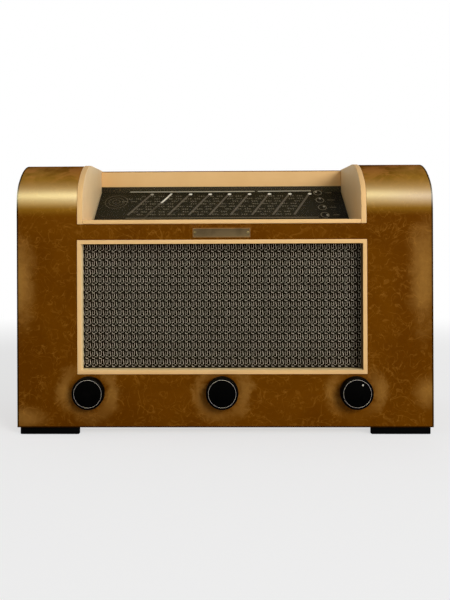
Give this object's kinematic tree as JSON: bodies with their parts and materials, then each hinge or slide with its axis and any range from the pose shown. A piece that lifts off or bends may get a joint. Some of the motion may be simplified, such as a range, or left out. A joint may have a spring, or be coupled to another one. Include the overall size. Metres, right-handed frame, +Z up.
{
  "type": "tube radio",
  "caption": "Table tube radio: bent-wood cabinet with sunken slanted dial, cloth grille and three front knobs; cord-driven tuning, chassis, tubes and loudspeaker inside.",
  "frame": {"origin": "centre of the bounding box at the surface that the feet stand on", "axes": "+X to the right seen from the front, +Y from the front to the rear, +Z up"},
  "size_m": [0.54, 0.2554, 0.3553],
  "materials": {
    "veneer": "gloss",
    "bare_wood": "matte",
    "cream_paint": "satin paint",
    "black_foot": "painted",
    "dial_glass": "gloss",
    "dial_black": "satin",
    "pointer_white": "satin",
    "bakelite": "gloss",
    "steel": "satin",
    "aluminium": "satin",
    "brass": "satin",
    "lamp_glass": "gloss",
    "cord": "matte",
    "grille_cloth": "matte",
    "paper_cone": "matte",
    "magnet_iron": "satin",
    "nameplate_metal": "satin",
    "felt": "matte",
    "laminate": "matte",
    "hardboard": "matte"
  },
  "bodies": {
    "root": {"front_wrap": "veneer", "left_side_panel": "veneer", "right_side_panel": "veneer", "bottom_board": "bare_wood", "glue_blocks": "bare_wood", "left_foot": "black_foot", "right_foot": "black_foot", "foot_screws": "steel", "left_cheek": "cream_paint", "right_cheek": "cream_paint", "dial_sill": "cream_paint", "recess_back": "cream_paint", "dial_glass": "dial_glass", "dial_plate": "dial_black", "dial_frame": "steel", "lamp_holders": "brass", "dial_lamps": "lamp_glass", "pointer_rail": "steel", "drive_cord": "cord", "gang_frame": "steel", "gang_stator": "aluminium", "grille_frame": "cream_paint", "grille_cloth": "grille_cloth", "baffle_board": "bare_wood", "speaker_basket": "steel", "speaker_magnet": "magnet_iron", "speaker_bolts": "steel", "nameplate": "nameplate_metal", "nameplate_screws": "brass", "felt_washers": "felt", "volume_pot": "laminate", "band_switch": "laminate", "chassis": "steel", "chassis_bolts": "steel", "tube_sockets": "laminate", "tube_bases": "bakelite", "tube_bulbs": "lamp_glass", "mains_transformer": "magnet_iron", "output_transformer": "magnet_iron", "smoothing_capacitor": "aluminium", "if_cans": "aluminium", "aerial_sockets": "laminate", "pickup_sockets": "laminate", "mains_inlet": "bakelite", "back_cover": "hardboard", "back_cover_screws": "brass"},
    "volume_control": {"volume_knob": "bakelite", "volume_shaft": "steel"},
    "tuning_control": {"tuning_knob": "bakelite", "tuning_spindle": "steel"},
    "band_selector": {"selector_knob": "bakelite", "selector_dot": "pointer_white", "selector_shaft": "steel"},
    "tuning_gang": {"drive_drum": "steel", "gang_rotor": "aluminium"},
    "pointer": {"dial_pointer": "pointer_white"},
    "pulley_left": {"left_pulley": "brass"},
    "pulley_right": {"right_pulley": "brass"},
    "pulley_guide": {"guide_pulley": "brass"},
    "cone": {"speaker_cone": "paper_cone"}
  },
  "joints": [
    {"name": "volume_turn", "type": "hinge", "parent": "root", "child": "volume_control", "pos_m": [-0.1761, -0.11225, 0.0555], "axis": [0, 1, 0], "range_deg": [0, 300]},
    {"name": "tuning_turn", "type": "hinge", "parent": "root", "child": "tuning_control", "pos_m": [-0.0033, -0.11225, 0.0555], "axis": [0, 1, 0], "range_deg": [-462.6, 2980.8]},
    {"name": "band_turn", "type": "hinge", "parent": "root", "child": "band_selector", "pos_m": [0.1695, -0.11225, 0.0555], "axis": [0, 1, 0], "range_deg": [-60, 30]},
    {"name": "gang_turn", "type": "hinge", "parent": "root", "child": "tuning_gang", "pos_m": [0.11818, -0.05225, 0.1215], "axis": [0, 1, 0], "range_deg": [-24.3, 155.9]},
    {"name": "pointer_slide", "type": "slide", "parent": "root", "child": "pointer", "axis": [1, 0, 0], "range_m": [-0.0323, 0.2081]},
    {"name": "left_pulley_turn", "type": "hinge", "parent": "root", "child": "pulley_left", "pos_m": [-0.1933, -0.05225, 0.248], "axis": [0, 1, 0], "range_deg": [-231.8, 1490.9]},
    {"name": "right_pulley_turn", "type": "hinge", "parent": "root", "child": "pulley_right", "pos_m": [0.1867, -0.05225, 0.248], "axis": [0, 1, 0], "range_deg": [-231.8, 1490.9]},
    {"name": "guide_pulley_turn", "type": "hinge", "parent": "root", "child": "pulley_guide", "pos_m": [-0.0153, -0.05225, 0.232], "axis": [0, 1, 0], "range_deg": [-1490.9, 231.8]},
    {"name": "cone_slide", "type": "slide", "parent": "root", "child": "cone", "axis": [0, 1, 0], "range_m": [-0.0015, 0.0015], "stiffness_N_per_m": 2000}
  ],
  "couplings": [
    {"joint": "gang_turn", "follows": "tuning_turn", "ratio": 0.052273},
    {"joint": "pointer_slide", "follows": "tuning_turn", "m_per_rad": 0.004},
    {"joint": "left_pulley_turn", "follows": "tuning_turn", "ratio": 0.5},
    {"joint": "right_pulley_turn", "follows": "tuning_turn", "ratio": 0.5},
    {"joint": "guide_pulley_turn", "follows": "tuning_turn", "ratio": -0.5}
  ]
}
